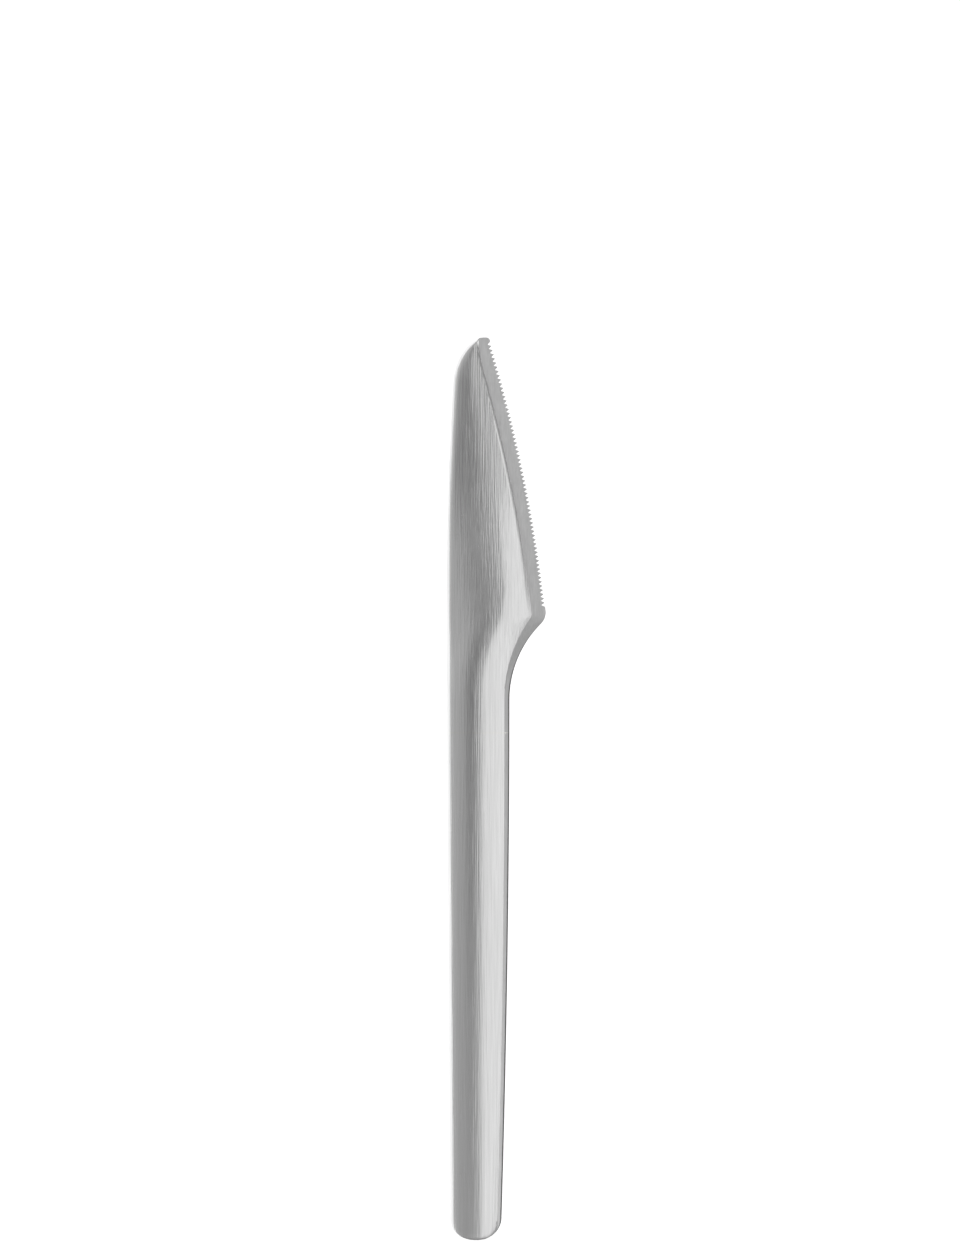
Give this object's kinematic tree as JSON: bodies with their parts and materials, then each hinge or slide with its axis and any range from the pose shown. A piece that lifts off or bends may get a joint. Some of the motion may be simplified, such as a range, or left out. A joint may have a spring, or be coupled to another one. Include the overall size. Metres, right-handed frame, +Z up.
{
  "type": "table knife",
  "caption": "Satin steel table knife with a hollow handle, a rounded nose and a fine-toothed edge, for cutting food at the table.",
  "frame": {"origin": "centre of the bounding box in plan, on the surface that the knife lies on", "axes": "+X across from the spine to the edge, +Y along the knife from the butt to the tip, +Z up through its thickness"},
  "size_m": [0.0232, 0.21, 0.007],
  "materials": {
    "blade_steel": "satin",
    "handle_steel": "satin",
    "braze_alloy": "satin",
    "cement": "matte"
  },
  "bodies": {
    "root": {"blade": "blade_steel", "handle_front_shell": "handle_steel", "handle_rear_shell": "handle_steel", "seam_braze": "braze_alloy", "bolster_braze": "braze_alloy", "tang_cement": "cement"}
  },
  "joints": []
}
